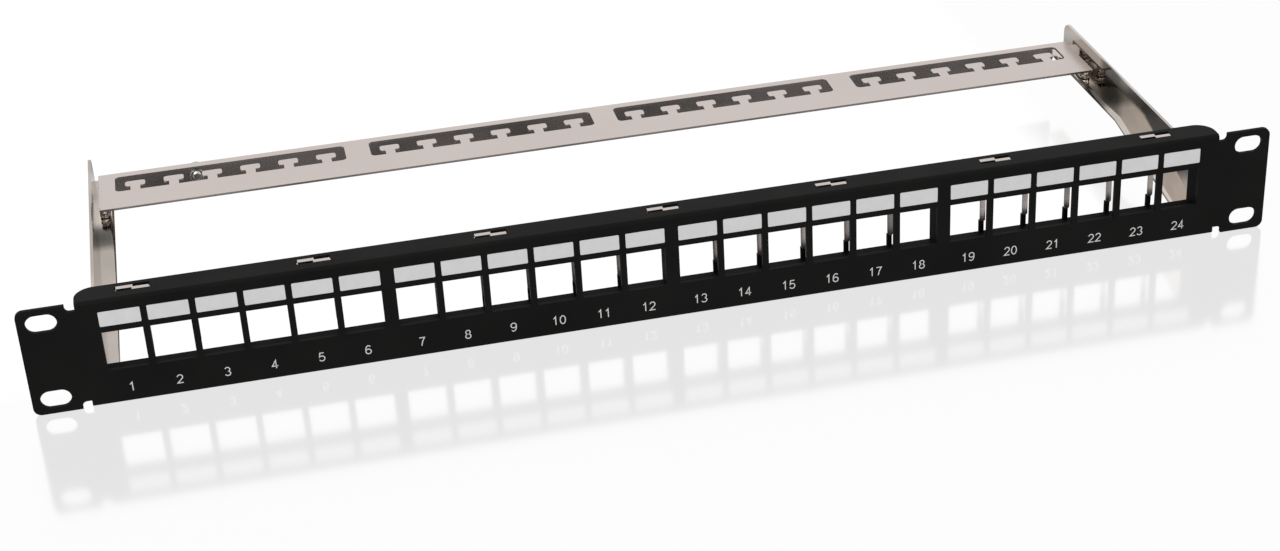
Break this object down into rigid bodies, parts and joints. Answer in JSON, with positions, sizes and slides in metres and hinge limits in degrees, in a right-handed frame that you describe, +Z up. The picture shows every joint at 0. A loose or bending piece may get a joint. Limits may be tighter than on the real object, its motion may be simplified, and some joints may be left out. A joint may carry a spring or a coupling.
{
  "type": "patch panel",
  "caption": "Rack-width patch panel with empty square module ports, label fields, rack ears and a slotted cable-tie bar carried behind on two side arms.",
  "frame": {"origin": "centre of the front face, on the web between the two middle ports", "axes": "+X to the right as seen from the front, +Y to the rear, +Z up"},
  "size_m": [0.4826, 0.146, 0.0436],
  "materials": {
    "black_powder_coat": "satin black powder coat",
    "black_plastic": "matte black moulding",
    "nickel_plate": "satin nickel plate",
    "bright_nickel": "bright nickel plate",
    "zinc_steel": "zinc-plated steel",
    "label_grey": "matte light grey write-on film"
  },
  "bodies": {
    "root": {"front_panel": "black_powder_coat", "label_01": "label_grey", "label_02": "label_grey", "label_03": "label_grey", "label_04": "label_grey", "label_05": "label_grey", "label_06": "label_grey", "label_07": "label_grey", "label_08": "label_grey", "label_09": "label_grey", "label_10": "label_grey", "label_11": "label_grey", "label_12": "label_grey", "label_13": "label_grey", "label_14": "label_grey", "label_15": "label_grey", "label_16": "label_grey", "label_17": "label_grey", "label_18": "label_grey", "label_19": "label_grey", "label_20": "label_grey", "label_21": "label_grey", "label_22": "label_grey", "label_23": "label_grey", "label_24": "label_grey", "module_carrier_1": "black_plastic", "module_carrier_2": "black_plastic", "module_carrier_3": "black_plastic", "module_carrier_4": "black_plastic", "contact_strip": "nickel_plate", "left_arm": "bright_nickel", "right_arm": "bright_nickel", "cable_bar": "nickel_plate", "bar_spacer_left_front": "bright_nickel", "bar_spacer_left_rear": "bright_nickel", "bar_spacer_right_front": "bright_nickel", "bar_spacer_right_rear": "bright_nickel", "arm_screw_left_front": "zinc_steel", "arm_screw_left_rear": "zinc_steel", "arm_screw_right_front": "zinc_steel", "arm_screw_right_rear": "zinc_steel", "panel_stud_left_upper": "zinc_steel", "panel_stud_left_lower": "zinc_steel", "panel_stud_right_upper": "zinc_steel", "panel_stud_right_lower": "zinc_steel", "panel_nut_left_upper": "zinc_steel", "panel_nut_left_lower": "zinc_steel", "panel_nut_right_upper": "zinc_steel", "panel_nut_right_lower": "zinc_steel", "earth_screw": "zinc_steel", "earth_washer": "zinc_steel", "earth_nut": "zinc_steel"}
  },
  "joints": []
}
